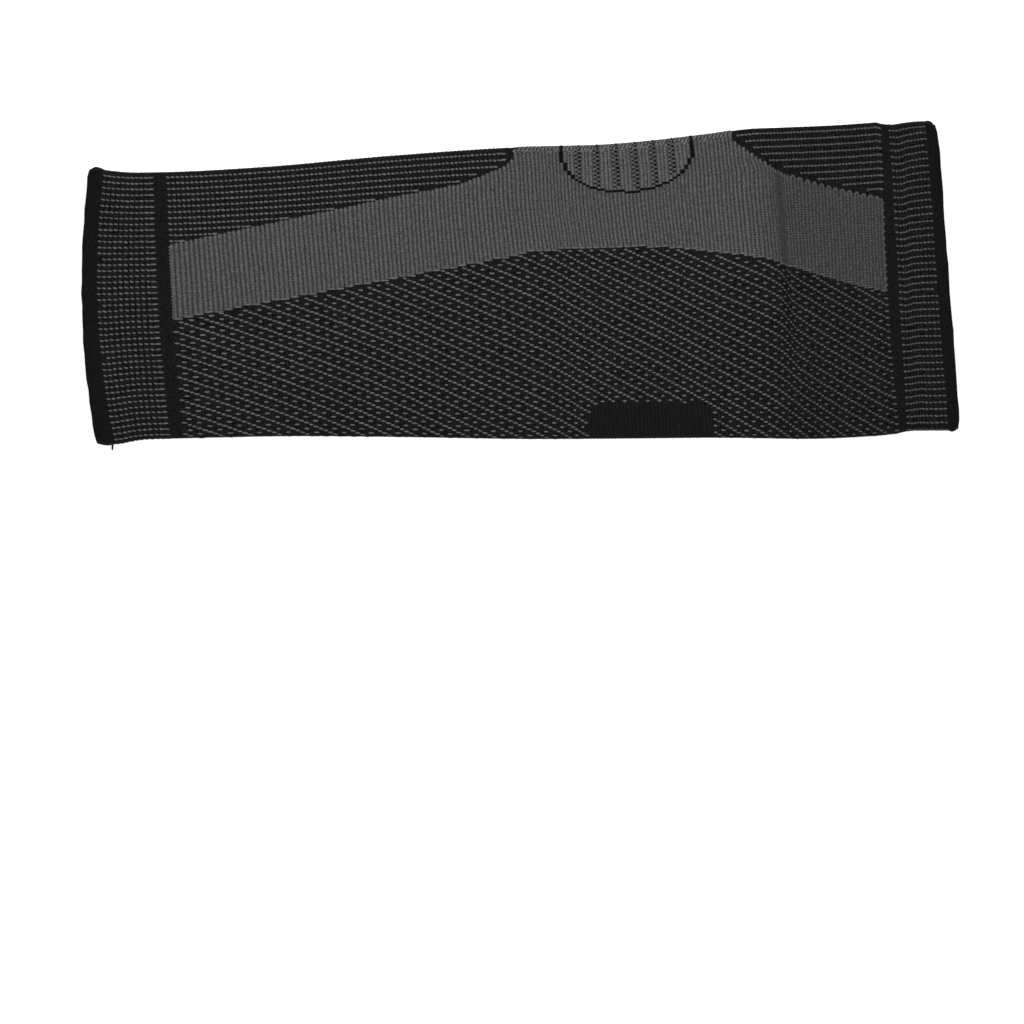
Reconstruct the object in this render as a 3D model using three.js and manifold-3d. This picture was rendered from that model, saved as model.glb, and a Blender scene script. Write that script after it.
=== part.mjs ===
// A knitted knee sleeve lying flat: an open tube, knitted in one go, whose zones are separate solids.
// Millimetres. X runs along the leg from the calf mouth to the thigh mouth, +Y is the kneecap side,
// +Z is up, and the tube lies on Z = 0.

import * as THREE from 'three';
import { ParametricGeometry } from 'three/addons/geometries/ParametricGeometry.js';
import { mergeVertices } from 'three/addons/utils/BufferGeometryUtils.js';
import Module from 'manifold-3d';

const wasm = await Module();
wasm.setup();

// Driving dimensions
const wallThickness = 1.8; // plain knit of the body
const cuffThickness = 2.0; // the cuffs and borders are knitted double
const hemThickness = 2.4; // the edge is turned in and overlocked
const foldHollow = 0.4; // radius left inside the wall where the tube turns over at its front and back
const crownFullness = 0.8; // below 1 the upper wall is flatter in the middle and rounder at the folds
const zoneGap = 0.3; // clearance between two knitted zones
const crossSides = 24; // facets over each face of the flattened tube
const slices = { hem: 2, ring: 1, body: 2 }; // facets along the tube from one section to the next
const cutterHeight = 40; // taller than the lying tube
const beyondTube = 70; // half-width that any zone outline may run to, outside the tube

// Each row is a section of the lying tube: where its front and back folds are, how far its middle bows
// along X, and how high the upper wall stands above the folds.
const sections = [
  { name: 'calfMouth', frontX: -147.9, frontY: 49.0, backX: -149.5, backY: -44.2, bow: -2.8, crown: 6.2 },
  { name: 'calfTurn', frontX: -145.7, frontY: 50.9, backX: -147.0, backY: -46.2, bow: -3.3, crown: 6.6 },
  { name: 'calfHemEnd', frontX: -142.1, frontY: 50.1, backX: -142.9, backY: -46.3, bow: -3.8, crown: 6.8 },
  { name: 'calfCuffMiddle', frontX: -134.0, frontY: 48.9, backX: -134.0, backY: -45.2, bow: -2.5, crown: 6.8 },
  { name: 'calfCuffEnd', frontX: -125.2, frontY: 48.5, backX: -123.5, backY: -45.2, bow: -1.0, crown: 6.6 },
  { name: 'calfBodyStart', frontX: -120.7, frontY: 48.4, backX: -118.9, backY: -45.3, bow: -0.6, crown: 6.5 },
  { name: 'shin', frontX: -84.9, frontY: 48.7, backX: -83.4, backY: -46.1, bow: -0.6, crown: 6.5 },
  { name: 'belowKnee', frontX: -42.0, frontY: 50.6, backX: -40.5, backY: -48.3, bow: -0.5, crown: 6.5 },
  { name: 'kneeStart', frontX: 0.0, frontY: 51.6, backX: 1.6, backY: -50.8, bow: -0.4, crown: 6.6 },
  { name: 'kneeMiddle', frontX: 39.0, frontY: 51.2, backX: 40.4, backY: -52.3, bow: -0.4, crown: 6.8 },
  { name: 'kneeEnd', frontX: 68.0, frontY: 53.0, backX: 68.0, backY: -53.3, bow: -0.4, crown: 6.8 },
  { name: 'creaseStart', frontX: 90.5, frontY: 54.2, backX: 83.5, backY: -54.3, bow: 0.0, crown: 6.8 },
  { name: 'crease', frontX: 95.9, frontY: 54.3, backX: 88.7, backY: -54.6, bow: 0.0, crown: 6.7 },
  { name: 'creaseEnd', frontX: 101.0, frontY: 54.3, backX: 94.4, backY: -54.9, bow: 0.0, crown: 6.8 },
  { name: 'thigh', frontX: 118.0, frontY: 54.5, backX: 116.5, backY: -55.1, bow: -0.8, crown: 6.9 },
  { name: 'thighBodyEnd', frontX: 130.3, frontY: 54.0, backX: 131.0, backY: -54.4, bow: -2.2, crown: 6.9 },
  { name: 'thighCuffStart', frontX: 132.7, frontY: 54.0, backX: 133.7, backY: -53.9, bow: -1.3, crown: 6.9 },
  { name: 'thighCuffMiddle', frontX: 139.3, frontY: 54.5, backX: 140.7, backY: -53.9, bow: -0.9, crown: 7.0 },
  { name: 'thighHemStart', frontX: 144.7, frontY: 54.5, backX: 146.9, backY: -54.0, bow: -0.8, crown: 7.0 },
  { name: 'thighTurn', frontX: 146.6, frontY: 53.7, backX: 149.9, backY: -53.9, bow: -0.9, crown: 6.8 },
  { name: 'thighMouth', frontX: 148.5, frontY: 51.2, backX: 151.9, backY: -51.9, bow: -1.0, crown: 6.5 },
];
// A cross fold presses the upper wall in at one section. Its reach is in shares of the way from front to back.
const crossFold = { section: 'crease', depth: 1.2, start: 0.05, full: 0.2, fading: 0.45, end: 0.75 };

// Borders between the zones of the body, seen from above. The underside carries the same zones.
const shinBorder = [
  { x: -160.0, y: 15.7 },
  { x: -120.3, y: 22.2 },
  { x: -41.4, y: 35.5 },
  { x: -19.0, y: 38.9 },
  { x: -7.9, y: 42.9 },
  { x: 0.3, y: 48.4 },
  { x: 0.9, y: 60.0 },
];
const thighBorder = [
  { x: 72.5, y: 60.0 },
  { x: 77.5, y: 53.5 },
  { x: 91.0, y: 41.0 },
  { x: 99.7, y: 36.0 },
  { x: 111.6, y: 31.5 },
  { x: 128.1, y: 27.3 },
  { x: 160.0, y: 19.3 },
];
const meshBorder = [
  { x: -160.0, y: -9.9 },
  { x: -120.7, y: -4.0 },
  { x: -48.2, y: 6.3 },
  { x: -5.9, y: 12.4 },
  { x: 38.4, y: 14.3 },
  { x: 71.6, y: 11.0 },
  { x: 98.1, y: 2.6 },
  { x: 127.9, y: -5.5 },
  { x: 160.0, y: -13.8 },
];
const borderSteps = { shin: 10, thigh: 10, mesh: 20 };
const kneecap = { centreX: 39.3, centreY: 46.5, halfWidth: 23.0, depth: 12.7, sides: 14 };
const backKnee = { left: 22.0, right: 66.5, top: -38.9, tilt: -0.04, corner: 6.5, cornerSides: 4 };

const knitBlack = new THREE.MeshStandardMaterial({ color: 0x1b1b1b, roughness: 0.95, metalness: 0 });
const edgeBlack = new THREE.MeshStandardMaterial({ color: 0x141414, roughness: 0.9, metalness: 0 });
const knitGrey = new THREE.MeshStandardMaterial({ color: 0x4a4a4a, roughness: 0.95, metalness: 0 });
const stitchedBlack = new THREE.MeshStandardMaterial({ color: 0x2a2a2a, roughness: 0.95, metalness: 0 });

// The lying tube

const frontPoints = sections.map((row) => new THREE.Vector3(row.frontX, row.frontY, 0));
const backPoints = sections.map((row) => new THREE.Vector3(row.backX, row.backY, 0));
const frontFold = new THREE.CatmullRomCurve3(frontPoints);
const backFold = new THREE.CatmullRomCurve3(backPoints);
const lastSection = sections.length - 1;

function sectionNumber(name) {
  return sections.findIndex((row) => row.name === name);
}

function between(column, place) {
  const row = Math.min(Math.floor(place), lastSection - 1);
  const share = place - row;
  return THREE.MathUtils.lerp(sections[row][column], sections[row + 1][column], share);
}

function crossFoldDepth(place, across) {
  const near = Math.max(0, 1 - Math.abs(place - sectionNumber(crossFold.section)));
  const rising = THREE.MathUtils.smoothstep(across, crossFold.start, crossFold.full);
  const falling = 1 - THREE.MathUtils.smoothstep(across, crossFold.fading, crossFold.end);
  return crossFold.depth * near * rising * falling;
}

// A point of the outer or inner face of a wall of the given thickness. The turn goes once round the tube:
// from the front fold over the upper wall to the back fold, and back along the surface that the tube lies on.
function tubePoint(place, turn, thickness, inside, target) {
  const front = frontFold.getPoint(place / lastSection);
  const back = backFold.getPoint(place / lastSection);
  const acrossTube = new THREE.Vector3().subVectors(back, front);
  const width = acrossTube.length();
  const inset = inside ? thickness : 0;
  const foldRadius = foldHollow + thickness;
  const angle = turn * 2 * Math.PI;
  const reach = (1 - Math.cos(angle)) / 2;
  const across = THREE.MathUtils.lerp(inset / width, 1 - inset / width, reach);
  const radius = foldRadius - inset;
  const fromFold = Math.min(reach, 1 - reach) * (width - 2 * inset);
  const roundness = Math.sqrt(1 - (1 - Math.min(fromFold / foldRadius, 1)) ** 2);
  const arch = (4 * reach * (1 - reach)) ** crownFullness * between('crown', place);
  const crown = arch - crossFoldDepth(place, across);
  const onTop = Math.sin(angle) >= 0;
  const height = onTop ? radius + crown : -radius;
  target.copy(front).addScaledVector(acrossTube, across);
  target.x += between('bow', place) * 4 * across * (1 - across);
  target.z = foldRadius + height * roundness;
}

// A closed ring of the tube's wall between two sections: along the outer face, over the end, and back along
// the inner face.
function tubeRing(startName, endName, thickness, slicesPerSection) {
  const start = sectionNumber(startName);
  const end = sectionNumber(endName);
  const faceSlices = (end - start) * slicesPerSection;
  const stops = 2 * (faceSlices + 1);
  const ringPoint = (turn, along, target) => {
    const stop = Math.round(along * stops) % stops;
    const inside = stop > faceSlices;
    const share = (inside ? stops - 1 - stop : stop) / faceSlices;
    tubePoint(start + (end - start) * share, turn % 1, thickness, inside, target);
    target.x += zoneGap * (0.5 - share);
  };
  return new ParametricGeometry(ringPoint, 2 * crossSides, stops);
}

// Joining and cutting

function weld(geometry) {
  const bare = geometry.clone();
  bare.deleteAttribute('normal');
  bare.deleteAttribute('uv');
  return mergeVertices(bare);
}

function solidOf(geometry) {
  const welded = weld(geometry);
  const vertProperties = new Float32Array(welded.attributes.position.array);
  const triVerts = new Uint32Array(welded.index.array);
  return new wasm.Manifold(new wasm.Mesh({ numProp: 3, vertProperties, triVerts }));
}

function geometryOf(solid) {
  const mesh = solid.getMesh();
  const geometry = new THREE.BufferGeometry();
  geometry.setAttribute('position', new THREE.BufferAttribute(mesh.vertProperties, mesh.numProp));
  geometry.setIndex(new THREE.BufferAttribute(mesh.triVerts, 1));
  geometry.computeVertexNormals();
  return geometry;
}

// An outline moved outwards by a distance, or inwards by a negative one. Outlines run anticlockwise.
function movedOutline(outline, distance) {
  return outline.map((point, i) => {
    const before = outline[(i + outline.length - 1) % outline.length];
    const after = outline[(i + 1) % outline.length];
    const arriving = new THREE.Vector2().subVectors(point, before).normalize();
    const leaving = new THREE.Vector2().subVectors(after, point).normalize();
    const outwards = new THREE.Vector2(arriving.y + leaving.y, -arriving.x - leaving.x).normalize();
    const mitre = outwards.x * arriving.y - outwards.y * arriving.x;
    return point.clone().addScaledVector(outwards, distance / mitre);
  });
}

function cutter(outline, distance) {
  const shape = new THREE.Shape(movedOutline(outline, distance));
  const prism = new THREE.ExtrudeGeometry(shape, { depth: cutterHeight, bevelEnabled: false });
  prism.translate(0, 0, -cutterHeight / 2);
  return solidOf(prism);
}

// A zone's own piece of the wall, and the wall with room left for that zone
const takeZone = (wall, outline) => wall.intersect(cutter(outline, -zoneGap / 2));
const leaveZone = (wall, outline) => wall.subtract(cutter(outline, zoneGap / 2));

// Outlines of the zones, anticlockwise from above

function smoothBorder(rows, steps) {
  const line = new THREE.SplineCurve(rows.map((row) => new THREE.Vector2(row.x, row.y)));
  return line.getSpacedPoints(steps);
}

function shinOutline() {
  const line = smoothBorder(shinBorder, borderSteps.shin);
  return [...line, new THREE.Vector2(line[0].x, beyondTube)];
}

function thighOutline() {
  const line = smoothBorder(thighBorder, borderSteps.thigh);
  return [...line, new THREE.Vector2(line.at(-1).x, beyondTube)];
}

function meshOutline() {
  const line = smoothBorder(meshBorder, borderSteps.mesh).reverse();
  const startCorner = new THREE.Vector2(line.at(-1).x, -beyondTube);
  const endCorner = new THREE.Vector2(line[0].x, -beyondTube);
  return [...line, startCorner, endCorner];
}

function kneecapOutline() {
  const { centreX, centreY, halfWidth, depth, sides } = kneecap;
  const arc = new THREE.EllipseCurve(centreX, centreY, halfWidth, depth, Math.PI, 2 * Math.PI);
  const right = new THREE.Vector2(centreX + halfWidth, beyondTube);
  const left = new THREE.Vector2(centreX - halfWidth, beyondTube);
  return [...arc.getPoints(sides), right, left];
}

function backKneeOutline() {
  const { left, right, top, tilt, corner, cornerSides } = backKnee;
  const rightTop = top + tilt * (right - left);
  const rightArc = new THREE.EllipseCurve(right - corner, rightTop - corner, corner, corner, 0, Math.PI / 2);
  const leftArc = new THREE.EllipseCurve(left + corner, top - corner, corner, corner, Math.PI / 2, Math.PI);
  const startCorner = new THREE.Vector2(left, -beyondTube);
  const endCorner = new THREE.Vector2(right, -beyondTube);
  return [...rightArc.getPoints(cornerSides), ...leftArc.getPoints(cornerSides), startCorner, endCorner];
}

// The sleeve

const sleeve = new THREE.Group();

function addPiece(name, geometry, material) {
  const piece = new THREE.Mesh(geometry, material);
  piece.name = name;
  sleeve.add(piece);
}

function addRing(name, startName, endName, thickness, slicesPerSection, material) {
  addPiece(name, weld(tubeRing(startName, endName, thickness, slicesPerSection)), material);
}

addRing('calf_hem', 'calfMouth', 'calfHemEnd', hemThickness, slices.hem, edgeBlack);
addRing('calf_cuff', 'calfHemEnd', 'calfCuffEnd', cuffThickness, slices.ring, stitchedBlack);
addRing('calf_border', 'calfCuffEnd', 'calfBodyStart', cuffThickness, slices.ring, knitBlack);
addRing('thigh_border', 'thighBodyEnd', 'thighCuffStart', cuffThickness, slices.ring, knitBlack);
addRing('thigh_cuff', 'thighCuffStart', 'thighHemStart', cuffThickness, slices.ring, stitchedBlack);
addRing('thigh_hem', 'thighHemStart', 'thighMouth', hemThickness, slices.hem, edgeBlack);

const body = solidOf(tubeRing('calfBodyStart', 'thighBodyEnd', wallThickness, slices.body));
const shin = shinOutline();
const thigh = thighOutline();
const mesh = meshOutline();
const cap = kneecapOutline();
const hollow = backKneeOutline();
const band = [shin, thigh, mesh, cap].reduce(leaveZone, body);

addPiece('shin_rib_panel', geometryOf(takeZone(body, shin)), stitchedBlack);
addPiece('support_band', geometryOf(band), knitGrey);
addPiece('kneecap_panel', geometryOf(takeZone(body, cap)), knitGrey);
addPiece('thigh_rib_panel', geometryOf(takeZone(body, thigh)), stitchedBlack);
addPiece('mesh_panel', geometryOf(leaveZone(takeZone(body, mesh), hollow)), stitchedBlack);
addPiece('back_knee_panel', geometryOf(takeZone(body, hollow)), knitBlack);

export default sleeve;
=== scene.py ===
# Knitted knee sleeve lying flat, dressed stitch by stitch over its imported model
import math

import bpy
import numpy as np
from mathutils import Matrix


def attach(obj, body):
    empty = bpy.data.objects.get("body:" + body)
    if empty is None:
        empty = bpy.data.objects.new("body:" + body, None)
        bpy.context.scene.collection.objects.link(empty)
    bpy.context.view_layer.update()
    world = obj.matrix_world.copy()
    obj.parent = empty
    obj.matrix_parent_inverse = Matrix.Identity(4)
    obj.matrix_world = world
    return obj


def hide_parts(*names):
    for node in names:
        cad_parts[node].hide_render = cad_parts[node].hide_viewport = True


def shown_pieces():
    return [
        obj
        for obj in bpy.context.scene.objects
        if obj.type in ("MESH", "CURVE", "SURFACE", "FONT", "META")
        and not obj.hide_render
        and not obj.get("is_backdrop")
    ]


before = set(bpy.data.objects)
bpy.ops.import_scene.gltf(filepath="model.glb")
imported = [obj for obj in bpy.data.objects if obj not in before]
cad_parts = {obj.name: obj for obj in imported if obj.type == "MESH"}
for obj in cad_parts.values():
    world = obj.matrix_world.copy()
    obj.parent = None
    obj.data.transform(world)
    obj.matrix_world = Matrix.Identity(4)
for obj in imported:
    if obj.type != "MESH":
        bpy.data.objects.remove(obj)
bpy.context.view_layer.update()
scene = bpy.context.scene
mm = 0.001
rng = np.random.default_rng(11)
print("frame loaded,", len(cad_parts), "nodes")

# The lying tube, in millimetres. A station gives the two ends of a knitted row on the front and back folds,
# how far the row's middle bows along the leg, how high the upper wall stands, and the radius of the folds.
stationColumns = ("frontX", "frontY", "backX", "backY", "bow", "crown", "turn")
stations = {
    "calfMouth": (-147.9, 49.7, -150.2, -45.4, -2.8, 6.2, 2.8),
    "calfTurn": (-145.7, 50.9, -147.0, -46.2, -3.3, 6.6, 2.8),
    "calfHemEnd": (-142.1, 50.1, -142.9, -46.3, -3.8, 6.8, 2.6),
    "calfCuffMiddle": (-134.0, 48.9, -134.0, -45.2, -2.5, 6.8, 2.4),
    "calfCuffEnd": (-125.2, 48.5, -123.5, -45.2, -1.0, 6.6, 2.4),
    "calfBodyStart": (-120.7, 48.4, -118.9, -45.3, -0.6, 6.5, 2.3),
    "shin": (-84.9, 48.7, -83.4, -46.1, -0.6, 6.5, 2.2),
    "belowKnee": (-42.0, 50.6, -40.5, -48.3, -0.5, 6.5, 2.2),
    "kneeStart": (0.0, 51.6, 1.4, -50.8, -0.4, 6.6, 2.2),
    "kneeMiddle": (39.0, 51.2, 40.3, -52.3, -0.4, 6.8, 2.2),
    "kneeEnd": (67.4, 53.0, 68.6, -53.3, -0.4, 6.8, 2.2),
    "aboveKnee": (85.5, 54.6, 86.6, -54.3, -0.4, 6.8, 2.2),
    "crease": (95.5, 54.55, 96.5, -54.9, -0.4, 6.8, 2.2),
    "thigh": (117.0, 54.6, 117.9, -55.1, -0.8, 6.9, 2.2),
    "thighRise": (126.0, 54.85, 126.9, -54.8, -1.5, 6.9, 2.2),
    "thighEdge": (128.0, 54.9, 129.2, -54.6, -1.8, 6.9, 2.2),
    "thighBodyEnd": (129.3, 54.5, 130.8, -54.4, -2.0, 6.9, 2.3),
    "thighCuffStart": (131.7, 54.0, 133.5, -53.9, -0.8, 6.9, 2.4),
    "thighCuffMiddle": (139.3, 54.5, 140.7, -53.9, -0.9, 7.0, 2.4),
    "thighHemStart": (144.7, 54.5, 147.9, -54.2, -0.8, 7.0, 2.6),
    "thighTurn": (147.1, 53.9, 150.2, -54.3, -0.7, 6.8, 2.8),
    "thighMouth": (149.0, 51.2, 152.3, -52.8, -0.6, 6.5, 2.8),
}
tube = {
    "crownFullness": 0.8,  # below 1 the upper wall is flat in the middle and round at the folds
    "wall": 1.8,
    "cuffWall": 2.0,
    "hemWall": 2.4,
    "sectionSamples": 241,
}
crossFold = {
    "frontX": 91.5, "backX": 95.5, "depth": 1.2,
    "valley": (1.9, 2), "flattened": (1.45, 4),  # half width in mm and squareness
    "begins": (0.1, 0.14), "fades": (0.55, 0.95),  # shares of the way across
    "shift": 1.1, "shiftReach": 3.8, "shiftBegins": (0.2, 0.45), "shiftFades": (0.7, 1.0),
    "gathered": 1.6, "gatherReach": 3.0, "slackReach": 14.0,
}
frontCurl = {  # rows curl beside the front fold, but not round one place
    "reach": 0.45, "share": 0.12, "freeX": 24.0, "freeReach": 12.0, "freed": 1.2,
}
lean = {  # how far the rows of the grey band lean towards the calf, by place on the leg
    "x": (-121, -110, -95, -66, -34, -3, 12, 30, 54, 74, 88, 105, 125, 130),
    "reach": (0, 0.6, 1.0, 0.9, 0.7, 1.7, 2.2, 2.1, 1.8, 1.0, 1.2, 0.1, -0.1, 0),
    "shares": (0.16, 0.5),  # all of it before the first share of the way across, none after the second
}
skew = {  # how far the thigh cuff is pulled towards the front, by place on the leg and share across
    "x": (130.5, 133.2, 135.4, 136.6, 138.8, 141.0, 143.0, 147.5),
    "pulled": {
        0.0: (0,) * 8,
        0.03: (0, 0, 0, 0.15, 0.25, 0.35, 0.45, 0.6),
        0.1: (0, 0.1, 0, 0.45, 0.65, 0.85, 1.0, 1.3),
        0.3: (0, 0.05, 0, 0.45, 0.6, 0.75, 0.88, 1.1),
        0.5: (0, 0, 0, 0.4, 0.45, 0.5, 0.55, 0.6),
        0.75: (0, -0.2, 0, 0.2, 0.35, 0.3, 0.28, 0.4),
        0.92: (0, -0.45, -0.15, 0, 0.25, 0.05, -0.05, 0.2),
        1.0: (0,) * 8,
    },
}
ripple = {  # slack of cloth laid by hand
    "height": 0.10, "waves": 6, "shortest": 18.0, "longest": 60.0, "begins": (0.03, 0.12),
}

stationTable = np.array(list(stations.values()))
station = {name: stationTable[:, k] for k, name in enumerate(stationColumns)}


def along(x, knots, values):  # smooth curve through a table
    slopes = np.gradient(values, knots)
    k = np.clip(np.searchsorted(knots, x) - 1, 0, len(knots) - 2)
    span = knots[k + 1] - knots[k]
    t = (x - knots[k]) / span
    fromStart = (1 + 2 * t) * (1 - t) ** 2 * values[k] + t * (1 - t) ** 2 * span * slopes[k]
    fromEnd = t * t * (3 - 2 * t) * values[k + 1] + t * t * (t - 1) * span * slopes[k + 1]
    return fromStart + fromEnd


def knittedRows(frontX):  # the folds, bow and heights of rows that start at these places on the front fold
    row = {"frontX": frontX}
    for name in ("frontY", "bow", "crown", "turn"):
        row[name] = along(frontX, station["frontX"], station[name])
    row["backX"] = frontX + along(frontX, station["frontX"], station["backX"] - station["frontX"])
    row["backY"] = along(row["backX"], station["backX"], station["backY"])
    return {name: value[:, None] for name, value in row.items()}


def wallHeight(row, share, onTop):
    inward = np.minimum(share, 1 - share) * (row["frontY"] - row["backY"])
    roundness = np.sqrt(1 - (1 - np.minimum(inward / row["turn"], 1)) ** 2)
    if not onTop:
        return row["turn"] * (1 - roundness)
    dome = (4 * share * (1 - share)) ** tube["crownFullness"] * row["crown"]
    return row["turn"] + (row["turn"] + dome) * roundness


def evenShares(row, count, onTop):  # shares of the way across that cut the wall into equal lengths
    angle = np.linspace(0, math.pi, tube["sectionSamples"])
    share = np.broadcast_to((1 - np.cos(angle)) / 2, (len(row["frontX"]), len(angle)))
    sideways = np.diff(share * (row["frontY"] - row["backY"]), axis=1)
    upwards = np.diff(wallHeight(row, share, onTop), axis=1)
    length = np.cumsum(np.hypot(sideways, upwards), axis=1)
    length = np.hstack([np.zeros((len(length), 1)), length])
    marks = np.linspace(0, 1, count + 1)
    return np.array([np.interp(marks * own[-1], own, line) for own, line in zip(length, share)])


def smoothstep(value, low, high):
    t = np.clip((value - low) / (high - low), 0, 1)
    return t * t * (3 - 2 * t)


def blend(table, row, column):  # between the four nearest values of a table, the last column joins the first
    r = np.minimum(np.floor(row).astype(int), len(table) - 2)
    c = np.floor(column).astype(int)
    n = (c + 1) % table.shape[1]
    down, across = row - r, column - c
    if table.ndim > 2:
        down, across = down[..., None], across[..., None]
    c = c % table.shape[1]
    before = table[r, c] * (1 - across) + table[r, n] * across
    after = table[r + 1, c] * (1 - across) + table[r + 1, n] * across
    return before * (1 - down) + after * down


waveRng = np.random.default_rng(5)
waveSizes = waveRng.uniform(ripple["shortest"], ripple["longest"], ripple["waves"])
waveTurns = waveRng.uniform(0, 2 * math.pi, (2, ripple["waves"]))


def slackness(x, y):
    total = np.zeros_like(x)
    for size, heading, phase in zip(waveSizes, *waveTurns):
        total += np.sin(2 * math.pi / size * (x * math.cos(heading) + y * math.sin(heading)) + phase)
    return ripple["height"] * total / math.sqrt(ripple["waves"])


def fromFold(x, share):  # how far past the fold that crosses the thigh, and how much of it is there
    foldX = crossFold["frontX"] + (crossFold["backX"] - crossFold["frontX"]) * share
    there = smoothstep(share, *crossFold["begins"]) * (1 - smoothstep(share, *crossFold["fades"]))
    return x - foldX, there


def foldedShare(x, share, width, squareness):  # 1 in the bottom of the fold, 0 away from it
    past, there = fromFold(x, share)
    return there * np.exp(-np.abs(past / width) ** squareness)


def foldShift(x, share):  # the wales drop back where they cross the fold
    past, _ = fromFold(x, share)
    window = smoothstep(share, *crossFold["shiftBegins"]) * (1 - smoothstep(share, *crossFold["shiftFades"]))
    return -crossFold["shift"] * window * smoothstep(past, -crossFold["shiftReach"], crossFold["shiftReach"])


def foldGather(x, share):  # the courses are bunched in the fold
    past, there = fromFold(x, share)
    slack = np.exp(-(past / crossFold["slackReach"]) ** 2)
    return -crossFold["gathered"] * there * slack * np.tanh(past / crossFold["gatherReach"])


def cuffSkew(x, share):
    pulled = np.array(list(skew["pulled"].values()))
    shareIndex = np.interp(share, list(skew["pulled"]), np.arange(len(pulled)))
    xIndex = np.interp(x, skew["x"], np.arange(len(skew["x"])))
    return blend(pulled, shareIndex, xIndex)


def wallPoints(row, share, onTop):
    x = row["frontX"] + (row["backX"] - row["frontX"]) * share + row["bow"] * 4 * share * (1 - share)
    x = x - np.interp(row["frontX"], lean["x"], lean["reach"]) * (1 - smoothstep(share, *lean["shares"]))
    y = row["frontY"] + (row["backY"] - row["frontY"]) * share
    z = wallHeight(row, share, onTop)
    if onTop:
        z = z - crossFold["depth"] * foldedShare(x, share, *crossFold["valley"])
        z = z + slackness(x, y) * smoothstep(np.minimum(share, 1 - share), *ripple["begins"])
        y = y + cuffSkew(x, share) + foldShift(x, share)
        free = 1 - frontCurl["freed"] * np.exp(-((x - frontCurl["freeX"]) / frontCurl["freeReach"]) ** 2)
        curl = frontCurl["reach"] * free * (1 - smoothstep(share, 0, frontCurl["share"]))
        x = x + foldGather(x, share) - curl
    return np.stack([x, y, z], axis=-1)


def tubeGrid(frontX, topCount, lowerCount):  # once round the tube: over the top to the back, then underneath
    row = knittedRows(np.asarray(frontX, float))
    top = wallPoints(row, evenShares(row, topCount, True), True)
    under = wallPoints(row, evenShares(row, lowerCount, False)[:, ::-1], False)
    return np.concatenate([top, under[:, 1:-1]], axis=1)


def unit(vectors):
    return vectors / np.linalg.norm(vectors, axis=-1, keepdims=True)


def outwardNormals(grid):
    roundLeg = np.roll(grid, -1, axis=1) - np.roll(grid, 1, axis=1)
    return unit(np.cross(roundLeg, np.gradient(grid, axis=0)))


# The knit: courses are the rows across the leg, wales the columns along it
knit = {
    "wales": 144,  # over the upper face, about 0.75 mm each
    "strips": 72,  # the underside is drawn in strips of two wales
    "rowsPerCourse": 4,  # groove, shoulder, crest, shoulder
    "courses": {"calf_cuff": 11, "calf_border": 3, "body": 178, "thigh_border": 2, "thigh_cuff": 11},
    "ends": ("calfHemEnd", "calfCuffEnd", "calfBodyStart", "thighBodyEnd", "thighCuffStart", "thighHemStart"),
    # where the body's courses start on the front fold: 1.7 mm apart at the calf, 1.2 mm beside the kneecap
    "bodyCourse": (
        0, 22, 46.7, 65.3, 76.9, 83, 90.2, 97.1, 109.7, 122.6, 134.5, 140, 146.6, 154.1, 160.9, 167,
        172.4, 178,
    ),
    "bodyX": (
        -120.7, -82.8, -43.6, -15.5, 2.5, 11.4, 20.1, 28.7, 45.5, 61.9, 77.7, 85.3, 93.1, 101.3, 108.7, 115.8,
        122.5, 129.3,
    ),
    "unevenness": 0.012,
    "wander": 0.08, "wanderWales": 9,  # of the ribs along the leg
    "smoothWales": 4, "smoothStrips": 2, "smoothAndShaded": 0.7,  # the ribs are drawn out over the front fold, and darkened there with painted shade
    "seen": 139.0, "calfSeen": 142.3,  # wales from fold to fold, the calf's back half holds more
    "crowding": 0.62,  # wales that the middle takes over from beside each fold
    "tightShadeFrom": (79.0, 96.0),  # the courses past the cross fold lie tighter, and are darkened with painted shade
    "driftCourses": (0, 14, 192, 195, 206), "drift": (0.35, 0.35, -0.3, 0.45, 0.45),  # wales towards the back
    "overFold": 0.25,  # columns from the front fold to the loops that have just gone over it
}
wales, strips, steps = knit["wales"], knit["strips"], knit["rowsPerCourse"]
around = wales + strips
walesPerStrip = wales // strips
courseCount = sum(knit["courses"].values())


def courseStarts():
    ends = [stations[name][0] for name in knit["ends"]]
    lines = []
    for k, (ring, count) in enumerate(knit["courses"].items()):
        course = np.arange(count * steps) / steps
        if ring == "body":
            lines.append(along(course, np.array(knit["bodyCourse"]), np.array(knit["bodyX"])))
        else:
            lines.append(ends[k] + (ends[k + 1] - ends[k]) * course / count)
    return np.concatenate(lines + [[ends[-1]]])


def softNoise(rowStep, columnStep):  # random over the whole grid, smooth between the steps
    coarse = rng.normal(0, 1, (len(starts) // rowStep + 2, around // columnStep + 1))
    coarse[:, -1] = coarse[:, 0]
    r, c = np.arange(len(starts))[:, None] / rowStep, np.arange(around)[None] / columnStep
    return blend(coarse, *(np.floor(k) + smoothstep(k % 1, 0, 1) for k in (r, c)))


starts = courseStarts()
grid = tubeGrid(starts, wales, strips)
grid[1:-1, :, 0] += knit["wander"] * softNoise(steps, knit["wanderWales"])[1:-1]
normals = outwardNormals(grid)
unevenness = rng.normal(0, knit["unevenness"], grid.shape[:2])
faceShares = evenShares(knittedRows(starts), wales, True)  # how far across the upper face each column lies
flattenedAndShaded = np.zeros(grid.shape[:2])  # how far the ribs are drawn flat, and darkened with painted shade, in the cross fold and the front fold
flattenedAndShaded[:, :wales] = foldedShare(grid[:, :wales, 0], faceShares[:, :wales], *crossFold["flattened"])
flattenedAndShaded[:, np.r_[:knit["smoothWales"], around - knit["smoothStrips"]:around]] = knit["smoothAndShaded"]
tightAndShaded = smoothstep(starts, *knit["tightShadeFrom"])  # 0 for the courses of the calf and knee, 1 for the thigh's, which get painted shade
thighward = np.interp(starts, (knit["bodyX"][0], knit["bodyX"][-1]), (0, 1))[:, None]
behind = faceShares > 0.5
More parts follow.
